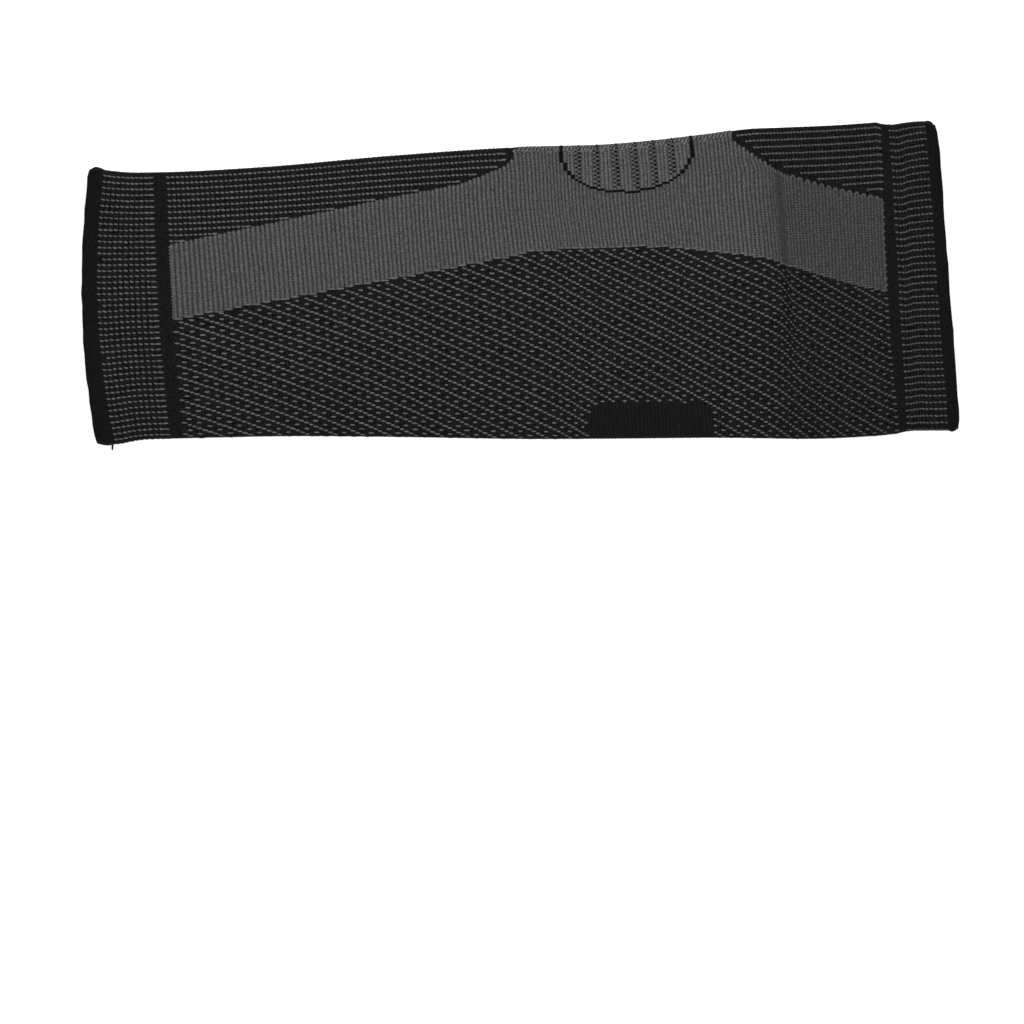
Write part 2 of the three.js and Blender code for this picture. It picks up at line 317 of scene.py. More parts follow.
seen = np.where(behind, knit["calfSeen"] + (knit["seen"] - knit["calfSeen"]) * thighward, knit["seen"])
crowding = knit["crowding"] * np.where(behind, thighward, 1.0)
waleAtColumn = wales / 2 + seen * (faceShares - 0.5) - crowding * np.sin(2 * math.pi * faceShares)
firstCourse = dict(zip(knit["courses"], np.cumsum([0, *knit["courses"].values()])))
bodyCourses = range(firstCourse["body"], firstCourse["thigh_border"])
print("knit laid out,", courseCount, "courses by", wales, "wales")

# Zones: borders are seen from above, in millimetres, and the underside carries the same zones
shinBorder = np.array([
    (-160, 15.7), (-120.3, 22.2), (-41.4, 35.5), (-19, 38.9), (-7.6, 42.8), (-3.6, 44.2), (-1, 46.1),
    (0.6, 48), (1.1, 50.4), (1.3, 60),
])
thighBorder = np.array([
    (76.4, 60), (77, 53.2), (77.2, 51.5), (77.7, 50), (79.1, 48.6), (81.9, 46.7), (85.5, 43.7), (90.5, 40.1),
    (94.7, 37.4), (101.8, 34.8), (111.6, 31.5), (128.1, 27.3), (160, 19.3),
])
meshBorder = np.array([
    (-160, -9.9), (-120.7, -4), (-48.2, 6.3), (-5.9, 12.4), (4.7, 14.1), (19.5, 14.8), (30, 14.75),
    (49.7, 14.05), (57.2, 13.2), (67, 11.6), (81.2, 9.5), (88.9, 7.8), (92.1, 6), (104, 2.2), (116.1, -2.2),
    (128, -5.1), (160, -13.8),
])
kneecap = {"firstCourse": 89, "courses": 36, "roundness": 17.8, "centreY": 47.6, "depth": 14.1}  # of the body
backKnee = {"left": 22.0, "right": 66.5, "top": -38.9, "tilt": -0.04, "corner": 6.5}
kneecapStart = bodyCourses[0] + kneecap["firstCourse"]


def inKneecap(y):  # an oval of whole courses, so its ends run straight along a course
    course = np.arange(courseCount)[:, None] - kneecapStart - (kneecap["courses"] - 1) / 2
    down = np.maximum(kneecap["centreY"] - y, 0) / kneecap["depth"]
    return (course / kneecap["roundness"]) ** 2 + down ** 2 < 1


def inBackKnee(x, y):
    top = backKnee["top"] + backKnee["tilt"] * (x - backKnee["left"])
    r = backKnee["corner"]
    past = np.maximum(np.maximum(backKnee["left"] + r - x, x - backKnee["right"] + r), 0)
    above = np.maximum(y - top + r, 0)
    return past ** 2 + above ** 2 < r * r


def zoneMap():
    middle = grid[steps // 2::steps]
    middle = (middle + np.roll(middle, -1, axis=1)) / 2
    x, y = middle[..., 0], middle[..., 1]
    zone = np.full(x.shape, "support_band", dtype="U16")
    zone[(x < shinBorder[-1, 0]) & (y > np.interp(x, *shinBorder.T))] = "shin_rib_panel"
    zone[(x > thighBorder[0, 0]) & (y > np.interp(x, *thighBorder.T))] = "thigh_rib_panel"
    zone[inKneecap(y)] = "kneecap_panel"
    zone[y < np.interp(x, *meshBorder.T)] = "mesh_panel"
    zone[inBackKnee(x, y)] = "back_knee_panel"
    for ring in knit["courses"]:
        if ring != "body":
            zone[firstCourse[ring]:firstCourse[ring] + knit["courses"][ring]] = ring
    return zone


zone = zoneMap()


def hexColour(code):  # sRGB to linear
    channels = [int(code[k:k + 2], 16) / 255 for k in (0, 2, 4)]
    return (*[c / 12.92 if c <= 0.04045 else ((c + 0.055) / 1.055) ** 2.4 for c in channels], 1)


def addNode(tree, kind, sockets, **settings):  # a socket takes a value, or a link from another node's output
    made = tree.nodes.new("ShaderNode" + kind)
    for name, value in settings.items():
        setattr(made, name, value)
    for name, value in sockets.items():
        if isinstance(value, bpy.types.NodeSocket):
            tree.links.new(value, made.inputs[name])
        else:
            made.inputs[name].default_value = value
    return made.outputs


def newMaterial(name):
    material = bpy.data.materials.new(name)
    material.use_nodes = True
    material.node_tree.nodes.clear()
    return material, material.node_tree


def startCloth(look):  # with how the stitches lie and where painted shade falls, the place on the body, and the fibre grain
    material, tree = newMaterial(look["name"])
    layUv = addNode(tree, "UVMap", {}, uv_map="layShade")
    layShade = addNode(tree, "SeparateXYZ", {"Vector": layUv[0]})
    body = addNode(tree, "TexCoord", {})["Object"]
    grain = addNode(tree, "TexNoise", {"Vector": body, "Scale": 1 / (look["grainSize"] * mm), "Detail": 2.0})
    return material, tree, layShade, body, grain[0]


def finishCloth(tree, look, mix, waves, height):  # two colours of yarn, made darker or lighter by grain and by painted shade, over a fine relief
    first, second = (hexColour(code) for code in look["colours"])
    yarn = addNode(tree, "Mix", {"Factor": mix, 6: first, 7: second}, data_type="RGBA")
    level = 1.0
    for wave, low, high in waves:
        change = addNode(tree, "MapRange", {"Value": wave, "To Min": low, "To Max": high})
        level = addNode(tree, "Math", {0: level, 1: change[0]}, operation="MULTIPLY")[0]
    colour = addNode(tree, "VectorMath", {0: yarn[2], "Scale": level}, operation="SCALE")
    bump = addNode(tree, "Bump", {"Height": height, "Distance": look["relief"] * mm, "Strength": 1.0})
    shader = addNode(tree, "BsdfPrincipled", {
        "Base Color": colour[0], "Roughness": look["roughness"], "Specular IOR Level": look["specular"],
        "Sheen Weight": look["sheen"], "Sheen Roughness": 0.5, "Normal": bump[0]})
    addNode(tree, "OutputMaterial", {"Surface": shader[0]})


# Ribbed nylon and elastane, knitted from textured yarn: matt, with a furrow between two courses that is
# darkened with painted shade, small beads where the wales cross, and a fine fibre grain. The stitch map has
# one unit for each stitch.
blackRib = {  # the colours are those of crest and furrow; the furrow's darker colour is painted shade
    "name": "black textured nylon, rib knitted", "slot": "black_knit", "colours": ("121212", "0e0e0e"),
    "sharpness": 2.0, "bead": 0.20, "grain": 0.95, "grainSize": 0.6, "cloud": 0.10, "cloudSize": 22.0,
    "slub": 0.2, "relief": 0.05, "creaseShadeLevel": 0.9, "tightShadeLevel": 0.95, "roughness": 0.85, "specular": 0.03,
    "sheen": 0.0,
}
plainRib = {
    **blackRib, "name": "black textured nylon, knitted without loops", "colours": ("121212", "0c0c0c"),
    "grain": 0.3,
}
plainKnit = {  # no ribs show
    **blackRib, "name": "black textured nylon, plain knitted", "colours": ("101010", "0f0f0f"), "grain": 0.6,
}
greyRib = {
    **blackRib, "name": "grey textured nylon, rib knitted", "slot": "grey_knit",
    "colours": ("424242", "242424"), "sharpness": 1.8, "bead": 0.28, "grain": 0.5, "cloud": 0.02,
    "slub": 0.12, "relief": 0.06, "creaseShadeLevel": 0.60, "tightShadeLevel": 0.75, "specular": 0.08, "sheen": 0.10,
}
slackRib = {**greyRib, "name": "grey textured nylon, knitted slack", "colours": ("484848", "2b2b2b")}
stitchLook = {  # what every rib knit shares
    "tightSharpness": 0.55, "tightFurrow": 0.8,  # tight courses close the furrows
    "creaseFurrow": 0.1, "creaseFull": 0.8, "slackBead": 0.7, "beadRelief": -0.6,
    "grainFrom": 0.3, "grainTo": 0.7, "slubWale": 0.4, "slubCourse": 3.7,  # each course has slubs of its own
}


def ribKnit(look):
    material, tree, layShade, body, grain = startCloth(look)
    creaseFlatAndShade, tightShade = layShade["X"], layShade["Y"]
    stitch = addNode(tree, "UVMap", {}, uv_map="stitches")
    place = addNode(tree, "SeparateXYZ", {"Vector": stitch[0]})
    between = []
    for axis in "YX":  # 1 in the furrows, where shade is painted, then 1 between the beads
        turn = addNode(tree, "Math", {0: place[axis], 1: 2 * math.pi}, operation="MULTIPLY")
        cosine = addNode(tree, "Math", {0: turn[0]}, operation="COSINE")
        between.append(addNode(tree, "MapRange", {"Value": cosine[0], "From Min": -1.0})[0])
    furrowShade, bead = between
    for operation, amount, full, low, high in (
        ("POWER", tightShade, 1.0, look["sharpness"], look["sharpness"] * stitchLook["tightSharpness"]),
        ("MULTIPLY", creaseFlatAndShade, stitchLook["creaseFull"], 1.0, stitchLook["creaseFurrow"]),
        ("MULTIPLY", tightShade, 1.0, 1.0, stitchLook["tightFurrow"]),
    ):
        change = addNode(tree, "MapRange", {"Value": amount, "From Max": full, "To Min": low, "To Max": high})
        furrowShade = addNode(tree, "Math", {0: furrowShade, 1: change[0]}, operation=operation)[0]
    beadSize = addNode(tree, "MapRange", {"Value": tightShade, "To Min": stitchLook["slackBead"]})
    bead = addNode(tree, "Math", {0: bead, 1: 0.5}, operation="SUBTRACT")[0]
    bead = addNode(tree, "Math", {0: bead, 1: beadSize[0], 2: 0.5}, operation="MULTIPLY_ADD")[0]
    course = addNode(tree, "Math", {0: place["Y"]}, operation="FLOOR")
    slubX = addNode(tree, "Math", {0: place["X"], 1: stitchLook["slubWale"]}, operation="MULTIPLY")
    slubY = addNode(tree, "Math", {0: course[0], 1: stitchLook["slubCourse"]}, operation="MULTIPLY")
    ribPlace = addNode(tree, "CombineXYZ", {"X": slubX[0], "Y": slubY[0]})
    slub = addNode(tree, "TexNoise", {"Vector": ribPlace[0], "Scale": 1.0, "Detail": 1.0})
    cloud = addNode(tree, "TexNoise", {"Vector": body, "Scale": 1 / (look["cloudSize"] * mm), "Detail": 3.0})
    grain = addNode(tree, "MapRange", {
        "Value": grain, "From Min": stitchLook["grainFrom"], "From Max": stitchLook["grainTo"]})[0]
    # painted shade: the colour is darker in the cross fold and along the front fold
    waves = [(creaseFlatAndShade, 1.0, look["creaseShadeLevel"])]
    for name, wave in (("grain", grain), ("cloud", cloud[0]), ("slub", slub[0])):
        waves.append((wave, 1 - look[name], 1 + look[name]))
    # painted shade: the tight courses towards the thigh are darker
    waves += [(bead, 1 + look["bead"], 1 - look["bead"]), (tightShade, 1.0, look["tightShadeLevel"])]
    height = addNode(tree, "Math", {0: bead, 1: stitchLook["beadRelief"], 2: grain}, operation="MULTIPLY_ADD")
    finishCloth(tree, look, furrowShade, waves, height[0])
    return material


# Single loops of yarn lying on the knit: rounder than a rib, the grey ones brighter, each a little different
greyLoop = {  # the colours are those of the darkest and the lightest loop
    "name": "grey textured nylon, single loops", "slot": "grey_knit", "colours": ("454545", "525252"),
    "grain": 0.25, "grainSize": 0.35, "tightShadeLevel": 0.72, "relief": 0.05, "roughness": 0.8, "specular": 0.08,
    "sheen": 0.05,
}
litLoop = {  # pulled open over the front fold; their lighter colours are a painted highlight
    **greyLoop, "name": "grey textured nylon, stretched loops, painted highlight", "colours": ("555555", "6c6c6c"),
    "tightShadeLevel": 0.9, "roughness": 0.75, "specular": 0.1, "sheen": 0.1,
}
blackLoop = {
    **greyLoop, "name": "black textured nylon, single loops", "slot": "black_knit",
    "colours": ("080808", "0c0c0c"), "tightShadeLevel": 1.0, "roughness": 0.85, "specular": 0.02, "sheen": 0.0,
}
sunkLoop = {
    **blackLoop, "name": "black textured nylon, loops sunk between grey ribs",
    "colours": ("0d0d0d", "151515"),
}
# dark strips of painted shade between the stretched loops over the front fold
paintedShadeLoop = {
    **blackLoop, "name": "painted shade between stretched loops", "colours": ("303030", "383838"),
}
# Overlocked edge of black yarn: threads laid side by side round the edge, smoother than the knit
overlock = {
    **blackLoop, "name": "black overlock thread, laid over the edge", "slot": "hem_knit",
    "colours": ("0a0a0a", "0d0d0d"), "grain": 1.2, "grainSize": 0.8, "roughness": 0.8, "specular": 0.04,
}


def loopYarn(look):
    material, tree, layShade, _, grain = startCloth(look)
    island = addNode(tree, "NewGeometry", {})["Random Per Island"]
    # painted shade: loops on the tight courses towards the thigh are darker
    waves = [(grain, 1 - look["grain"], 1 + look["grain"]), (layShade["Y"], 1.0, look["tightShadeLevel"])]
    finishCloth(tree, look, island, waves, grain)
    return material


materials = {look["name"]: ribKnit(look) for look in (blackRib, plainRib, plainKnit, greyRib, slackRib)}
for look in (greyLoop, blackLoop, sunkLoop, litLoop, paintedShadeLoop, overlock):
    materials[look["name"]] = loopYarn(look)
print("materials made,", len(materials))

sharpEdge = math.radians(75)


def addObject(name, data):
    made = bpy.data.objects.new(name, data)
    scene.collection.objects.link(made)
    return made


def addPiece(name, points, faces, uvMaps, look):  # points in millimetres, faces and maps as arrays
    mesh = bpy.data.meshes.new(name)
    sizes = np.concatenate([np.full(len(part), part.shape[1]) for part in faces])
    corners = np.concatenate([part.ravel() for part in faces])
    mesh.vertices.add(len(points))
    mesh.vertices.foreach_set("co", (points * mm).astype(np.float32).ravel())
    mesh.loops.add(len(corners))
    mesh.loops.foreach_set("vertex_index", corners.astype(np.int32))
    mesh.polygons.add(len(sizes))
    mesh.polygons.foreach_set("loop_start", np.concatenate([[0], np.cumsum(sizes)[:-1]]).astype(np.int32))
    for layer, uv in uvMaps.items():
        mesh.uv_layers.new(name=layer).uv.foreach_set("vector", uv.astype(np.float32).ravel())
    mesh.update(calc_edges=True)
    mesh.validate()
    mesh.shade_smooth()
    mesh.set_sharp_from_angle(angle=sharpEdge)
    mesh.materials.append(materials[look["name"]])
    piece = addObject(name, mesh)
    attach(piece, "root")
    return piece


# Each zone is a closed wall: ribbed outside, plain inside, and cut off along whole stitches
blackGround = {"groove": -0.23, "shoulder": -0.21, "crest": -0.19}
blackRibs = {"groove": -0.28, "shoulder": -0.21, "crest": -0.18}
greyGround = {"groove": -0.32, "shoulder": -0.13, "crest": 0.0}
panels = {  # relief, look, and whether the zone lies round the front fold
    "calf_cuff": (blackGround, blackRib, False),
    "calf_border": (blackGround, plainKnit, False),
    "shin_rib_panel": (blackGround, blackRib, True),
    "support_band": (greyGround, greyRib, True),
    "kneecap_panel": (greyGround, slackRib, True),
    "thigh_rib_panel": (blackGround, blackRib, True),
    "mesh_panel": (blackGround, blackRib, False),
    "back_knee_panel": (blackRibs, plainRib, False),
    "thigh_border": (blackGround, plainKnit, False),
    "thigh_cuff": (blackGround, blackRib, False),
}
bakeShares = {"outside": 0.72, "insideFrom": 0.75}  # of the baked map's height


def panelFaces(inZone, stride):  # first column, rows and columns of each face's corners, and which are inside
    i, c = np.nonzero(inZone)
    r = i * steps
    faces = []

    def add(cells, rows, columns, inside):
        if cells.any():
            faces.append((
                c[cells], np.stack([r[cells] + k for k in rows], axis=1),
                np.stack([c[cells] + k for k in columns], axis=1),
                np.broadcast_to(np.array(inside, bool), (cells.sum(), len(inside)))))

    everyCell = np.ones(len(i), bool)
    down = tuple(range(0, steps + 1, stride))
    for k in down[:-1]:
        add(everyCell, (k, k, k + stride, k + stride), (0, 1, 1, 0), (0, 0, 0, 0))
    add(everyCell, (0, steps, steps, 0), (0, 0, 1, 1), (1, 1, 1, 1))
    padded = np.pad(inZone, ((1, 1), (0, 0)))
    add(~padded[:-2][i, c], (0, 0, 0, 0), (1, 0, 0, 1), (0, 0, 1, 1))
    add(~padded[2:][i, c], (steps,) * 4, (0, 1, 1, 0), (0, 0, 1, 1))
    outer = (0,) * len(down)
    edge = len(down) + 2
    add(~np.roll(inZone, 1, axis=1)[i, c], (*down, steps, 0), (0,) * edge, (*outer, 1, 1))
    add(~np.roll(inZone, -1, axis=1)[i, c], (*down[::-1], 0, steps), (1,) * edge, (*outer, 1, 1))
    return faces


def sharesOf(parts):  # every value as its share of the way from the lowest to the highest
    low, high = min(part.min() for part in parts), max(part.max() for part in parts)
    return [(part - low) / (high - low) for part in parts]


def makePanel(node):
    relief, look, roundFront = panels[node]
    inZone = zone == node
    profile = np.array([relief[part] for part in ("groove", "shoulder", "crest", "shoulder")])
    level = profile.mean()
    rise = level + (profile[np.arange(len(grid)) % steps] - level)[:, None] * (1 - flattenedAndShaded) + unevenness
    wall = tube["wall"] if inZone.any(axis=1).argmax() in bodyCourses else tube["cuffWall"]
    outside = grid + normals * rise[..., None]
    outside[..., 2] = np.maximum(outside[..., 2], 0)
    inside = grid - normals * wall
    points = np.concatenate([outside.reshape(-1, 3), inside.reshape(-1, 3)])
    stride = 2 if relief is blackGround else 1  # a nearly flat ground needs half the rows
    found = panelFaces(inZone, stride)
    seam = wales + strips // 2 if roundFront else around  # keeps a zone on the front fold in one map
    spans = [columns - around * (first >= seam)[:, None] for first, _, columns, _ in found]
    faces = []
    maps = {"stitches": [], "layShade": [], "OFBake": []}
    for (_, rows, columns, isInside), span, across, lengthways in zip(
        found, spans, sharesOf(spans), sharesOf([rows for _, rows, _, _ in found]),
    ):
        faces.append(rows * around + columns % around + isInside * grid.shape[0] * around)
        wale = span + (walesPerStrip - 1) * (np.maximum(span - wales, 0) + np.minimum(span, 0))
        onInside = isInside.all(axis=1, keepdims=True)
        bakeInside = bakeShares["insideFrom"] + (1 - bakeShares["insideFrom"]) * lengthways
        bakeRow = np.where(onInside, bakeInside, bakeShares["outside"] * lengthways)
        for layer, u, v in (
            ("stitches", wale, rows / steps), ("layShade", flattenedAndShaded[rows, columns % around], tightAndShaded[rows]),
            ("OFBake", across, bakeRow),
        ):
            maps[layer].append(np.stack([u, v], axis=-1).reshape(-1, 2))
    used, compact = np.unique(np.concatenate([part.ravel() for part in faces]), return_inverse=True)
    splits = np.cumsum([part.size for part in faces])[:-1]
    faces = [ids.reshape(part.shape) for ids, part in zip(np.split(compact, splits), faces)]
    maps = {layer: np.concatenate(uvs) for layer, uvs in maps.items()}
    piece = addPiece(node + "_knit", points[used], faces, maps, look)
    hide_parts(node)
    return piece


pieces = {node: makePanel(node) for node in panels}
print("panels knitted,", {name: len(piece.data.polygons) for name, piece in pieces.items()})

# Hems: the edge is turned in and overlocked, so it is thicker, rounded, and ridged by its threads
hem = {
    "columnsPerWale": 2, "rows": 10, "rimRows": 7, "puff": 0.12, "fullness": 0.8, "sunk": -0.2,
    "sunkShare": 0.5, "ridge": 0.04, "ridgeSpread": 0.01, "edgeWobble": 0.12, "wobbleColumns": 12,
}
hems = {  # from where, to where, and which way along the leg
    "calf_hem": ("calfHemEnd", "calfMouth", -1),
    "thigh_hem": ("thighHemStart", "thighMouth", 1),
}


def makeHem(node):
    seam, mouth, way = hems[node]
    half = tube["hemWall"] / 2
    start, end = stations[seam][0], stations[mouth][0] - way * half
    t = np.linspace(0, 1, hem["rows"])
    top, under = wales * hem["columnsPerWale"], strips * hem["columnsPerWale"]
    base = tubeGrid(start + (end - start) * t, top, under)
    normal = way * outwardNormals(base)
    count = top + under
    ridge = hem["ridge"] * (np.arange(count) % 2 * 2 - 1) + rng.normal(0, hem["ridgeSpread"], count)
    rounded = np.sin(math.pi * t ** hem["fullness"])[:, None]
    sunk = hem["sunk"] * (1 - smoothstep(t, 0, hem["sunkShare"]))[:, None]
    outside = base + normal * (sunk + hem["puff"] * rounded + ridge * rounded - hem["ridge"])[..., None]
    every = hem["wobbleColumns"]
    wobble = rng.normal(0, hem["edgeWobble"], count // every + 1)
    wobble = np.interp(np.arange(count), np.arange(0, count + every, every), wobble)
    wobble[-every:] *= np.linspace(1, 0, every)
    outside[..., 0] += wobble * t[:, None]
    rim = []
    for turn in np.linspace(0, math.pi, hem["rimRows"] + 2)[1:-1]:
        point = outside[-1] - normal[-1] * half * (1 - math.cos(turn))
        point[:, 0] += way * half * math.sin(turn)
        rim.append(point)
    inside = base - normal * tube["hemWall"]
    inside[..., 0] += wobble * t[:, None]
    ring = np.concatenate([outside, np.array(rim), inside[::-1]])
    ring[..., 2] = np.maximum(ring[..., 2], 0)
    rows, columns = (side.ravel() for side in np.indices((len(ring), count)))
    nextRow, nextColumn = rows + 1, columns + 1
    order = [(rows, columns), (rows, nextColumn), (nextRow, nextColumn), (nextRow, columns)][::way]
    quads = np.stack([a % len(ring) * count + b % count for a, b in order], axis=1)
    bake = np.stack([np.stack([b / count, a / len(ring)], axis=-1) for a, b in order], axis=1)
    piece = addPiece(node + "_edge", ring.reshape(-1, 3), [quads], {"OFBake": bake.reshape(-1, 2)}, overlock)
    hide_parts(node)
    return piece


for node in hems:
    pieces[node] = makeHem(node)
print("hems turned")

# Single loops and ends: each is a closed spindle of yarn lying on the knit
loopShape = {
    "rings": (-0.84, 0.0, 0.84), "ringSizes": (0.82, 1.0, 0.82), "sides": 5, "firstSide": 0.25,
    "lengthSpread": 0.05, "widthSpread": 0.06, "bakeFill": 0.9, "bakeMargin": 0.05,
}


def surfaceAt(course, column):  # point, leg direction for one course, and normal of the knit
    row = np.clip(course * steps, 0, len(grid) - 1.001)
    r, c = np.floor(row), np.floor(column)
    lengthways = steps * (blend(grid, r + 1, column) - blend(grid, r, column))
    sideways = blend(grid, row, c + 1) - blend(grid, row, c)
    return blend(grid, row, column), lengthways, unit(np.cross(sideways, lengthways))


def makeSpindles(name, middle, axis, normal, halves, tightShade, look):
    # halves are a spindle's half length, half width and half height
    side = np.cross(normal, axis)
    sides, ringCount = loopShape["sides"], len(loopShape["rings"])
    halfLength, halfWidth, halfHeight = (np.broadcast_to(half, len(middle))[:, None] for half in halves)
    rings = []
    for place, share in zip(loopShape["rings"], loopShape["ringSizes"]):
        for k in range(sides):
            turn = 2 * math.pi * (k + loopShape["firstSide"]) / sides
            rings.append(middle + axis * halfLength * place + share * (
                side * halfWidth * math.cos(turn) + normal * halfHeight * math.sin(turn)))
    points = np.stack(rings + [middle - axis * halfLength, middle + axis * halfLength], axis=1)
    points[..., 2] = np.maximum(points[..., 2], 0)
    first, last = ringCount * sides, ringCount * sides + 1
    ends, quads, endMap, quadMap = [], [], [], []
    for k in range(sides):
        n = (k + 1) % sides
        ends += [(first, n, k), (last, first - sides + k, first - sides + n)]
        endMap += [((0, k), (1, k + 1), (1, k)), ((ringCount + 1, k), (ringCount, k), (ringCount, k + 1))]
        for m in range(ringCount - 1):
            quads.append((m * sides + k, m * sides + n, (m + 1) * sides + n, (m + 1) * sides + k))
            quadMap.append(((m + 1, k), (m + 1, k + 1), (m + 2, k + 1), (m + 2, k)))
    count = len(middle)
    begin = np.arange(count)[:, None, None] * points.shape[1]
    perSide = math.ceil(math.sqrt(count))
    home = np.stack([np.arange(count) % perSide, np.arange(count) // perSide], axis=-1)[:, None, None, :]
    faces, layMap, bakeMap = [], [], []
    for shape, places in ((ends, endMap), (quads, quadMap)):
        faces.append((np.array(shape)[None] + begin).reshape(-1, len(shape[0])))
        local = np.array(places, float) / (ringCount + 1, sides)
        local = local * loopShape["bakeFill"] + loopShape["bakeMargin"]
        bakeMap.append(((local[None] + home) / perSide).reshape(-1, 2))
        own = np.repeat(np.broadcast_to(tightShade, count), np.array(shape).size)
        layMap.append(np.stack([np.zeros_like(own), own], axis=-1))
    maps = {"layShade": np.concatenate(layMap), "OFBake": np.concatenate(bakeMap)}
    return addPiece(name, points.reshape(-1, 3), faces, maps, look)


def makeLoops(name, places, size, look):  # places: course, column, degrees, length and width of each loop
    course, column, degrees, length, width = places
    count = len(course)
    jitter = rng.normal(0, 1, (4, count))
    point, lengthways, normal = surfaceAt(course, column + size["stray"] * jitter[0])
    angle = np.radians(degrees + size["tilt"] * jitter[1])[:, None]
    axis = unit(unit(lengthways) * np.cos(angle) + unit(np.cross(lengthways, normal)) * np.sin(angle))
    halfLength = length / 2 * (1 + loopShape["lengthSpread"] * jitter[2])
    halfWidth = width / 2 * (1 + loopShape["widthSpread"] * jitter[3])
    halves = (halfLength, halfWidth, size["height"])
    tightShade = np.interp(course * steps, np.arange(len(tightAndShaded)), tightAndShaded)
    return makeSpindles(name, point - normal * size["sink"], axis, normal, halves, tightShade, look)


def fromFront(count, face):  # the column this many stitches from the front fold, face is 1 above and -1 below
    return count if face > 0 else around - count / walesPerStrip


def waleColumn(course, wale, face):  # column of a wale in a course, or -1 where it has gone round a fold
    if face < 0:
        return fromFront(wale, face)
    course, wale = np.broadcast_arrays(course, wale)
    column = np.full(wale.shape, -1.0)
    for i in np.unique(np.floor(course)):
        here = np.floor(course) == i
        shifted = wale[here] + np.interp(i, knit["driftCourses"], knit["drift"])
        own = waleAtColumn[int(i) * steps + steps // 2]
        found = np.interp(shifted, own, np.arange(wales + 1), left=-1, right=-1)
        over = (shifted <= own[0]) & (shifted > own[0] - 1)  # just round the front fold
        column[here] = np.where(over, around - knit["overFold"] - (own[0] - shifted) / walesPerStrip, found)
    return column


def zoneAt(course, column):
    inside = (column > 0) & (column < around) & (course >= 0) & (course < courseCount)
    i = np.clip(course, 0, courseCount - 1).astype(int)
    return np.where(inside, zone[i, np.floor(column).astype(int) % around], "")


def listed(*columns):  # course, column, degrees, length and width of each loop
    return np.stack([np.broadcast_to(values, np.shape(columns[0])) for values in columns])


def pitchAt(course, column):  # mm of leg in a course
    return np.linalg.norm(surfaceAt(course, column)[1], axis=1)


groundLoop = {"height": 0.24, "sink": 0.24, "tilt": 2.5, "stray": 0.05}
loopLines = {  # length in courses, width in mm, and degrees towards the back
    "calf_cuff": (0.80, 0.58, 12.0), "shin_rib_panel": (0.82, 0.68, 12.0),
    "thigh_rib_panel": (0.91, 0.71, 7.0), "mesh_panel": (1.08, 0.63, 8.0), "thigh_cuff": (0.88, 0.62, 7.0),
}
spacing = {
    "lineEvery": 3, "lineFirst": 2, "diagonal": 6,  # in wales
    "lastLength": 1.3, "singleLength": 1.1, "singleTurn": 3.0, "endLength": 1.15, "endTurn": 6.0,
    "clear": {"thigh_rib_panel": 3},  # wales between the last loop and the grey band, 1 elsewhere
    "tipFrom": -22.0, "tipClear": 2,  # courses that the stitch lines stop short in the tip of the long wedge
    "missedAtHem": {"calf_cuff": 0.05, "thigh_cuff": 0.12},  # of the loops in the course beside a hem
}


def loopPlaces(node, face):  # of a zone's grey loops, clear of the grey border
    found = []
    length, width, turn = loopLines[node]
    i, j = np.indices((courseCount, wales))
    everyThird = j % spacing["lineEvery"] == spacing["lineFirst"]
    step = (j - i) % spacing["diagonal"]
    single = (step == spacing["diagonal"] // 2) & ((i - bodyCourses[0]) % 2 == 1)
    column = waleColumn(i + 0.5, j + 0.5, face)
    here = zoneAt(i + 0.5, column) == node
    for aside in (-1, spacing["clear"].get(node, 1)):
        here &= zoneAt(i + 0.5, waleColumn(i + 0.5, j + 0.5 + aside, face)) != "support_band"
    if node == "shin_rib_panel":
        inTip = grid[i * steps, 0, 0] > spacing["tipFrom"]
        ahead = np.minimum(i + spacing["tipClear"], courseCount - 1)
        here &= ~inTip | (zoneAt(ahead + 0.5, column) == node)
    last = here & ~np.roll(here, -1, axis=0)
    ending = (i == bodyCourses[-1]) & here & everyThird
    if node == "mesh_panel":
        parts = [
            (here & (step == 0) & ~ending, turn, length),
            (here & single & ~ending, spacing["singleTurn"], spacing["singleLength"]),
            (ending, spacing["endTurn"], spacing["endLength"]),
        ]
    else:
        atHem = firstCourse["calf_cuff"] if node == "calf_cuff" else courseCount - 1
        missed = (i == atHem) & (rng.random(i.shape) < spacing["missedAtHem"].get(node, 0))
        longLast = last & (node != "thigh_cuff")
        parts = [
            (here & everyThird & ~longLast & ~missed, turn, length),
            (here & everyThird & longLast, 0.0, spacing["lastLength"]),
        ]
    for wanted, degrees, share in parts:
        course = np.nonzero(wanted)[0] + 0.5
        if len(course):
            pitch = pitchAt(course, column[wanted])
            pitch = np.median(pitch) if node == "calf_cuff" else pitch
            found.append(listed(course, column[wanted], face * degrees, share * pitch, width))
    return np.concatenate(found, axis=1)


for node in loopLines:
    for name, face in ((node + "_loops", 1), (node + "_lower_loops", -1)):
        pieces[name] = makeLoops(name, loopPlaces(node, face), groundLoop, greyLoop)
print("grey loops laid,", {name: len(piece.data.polygons) for name, piece in pieces.items()})

# A cut end of the overlock thread sticks out of the calf hem's back corner
threadEnd = {"from": (-143.9, -46.0, 1.6), "to": (-144.3, -48.2, 0.4), "thickness": 0.75}
threadStart, threadTip = (np.array([threadEnd[end]]) for end in ("from", "to"))
threadAxis = unit(threadTip - threadStart)
threadHalves = (np.linalg.norm(threadTip - threadStart) / 2, *[threadEnd["thickness"] / 2] * 2)
threadSide = unit(np.cross(threadAxis, [[1.0, 0.0, 0.0]]))
threadMiddle = (threadStart + threadTip) / 2
pieces["calf_hem_thread"] = makeSpindles(
    "calf_hem_thread", threadMiddle, threadAxis, threadSide, threadHalves, 0.0, overlock)

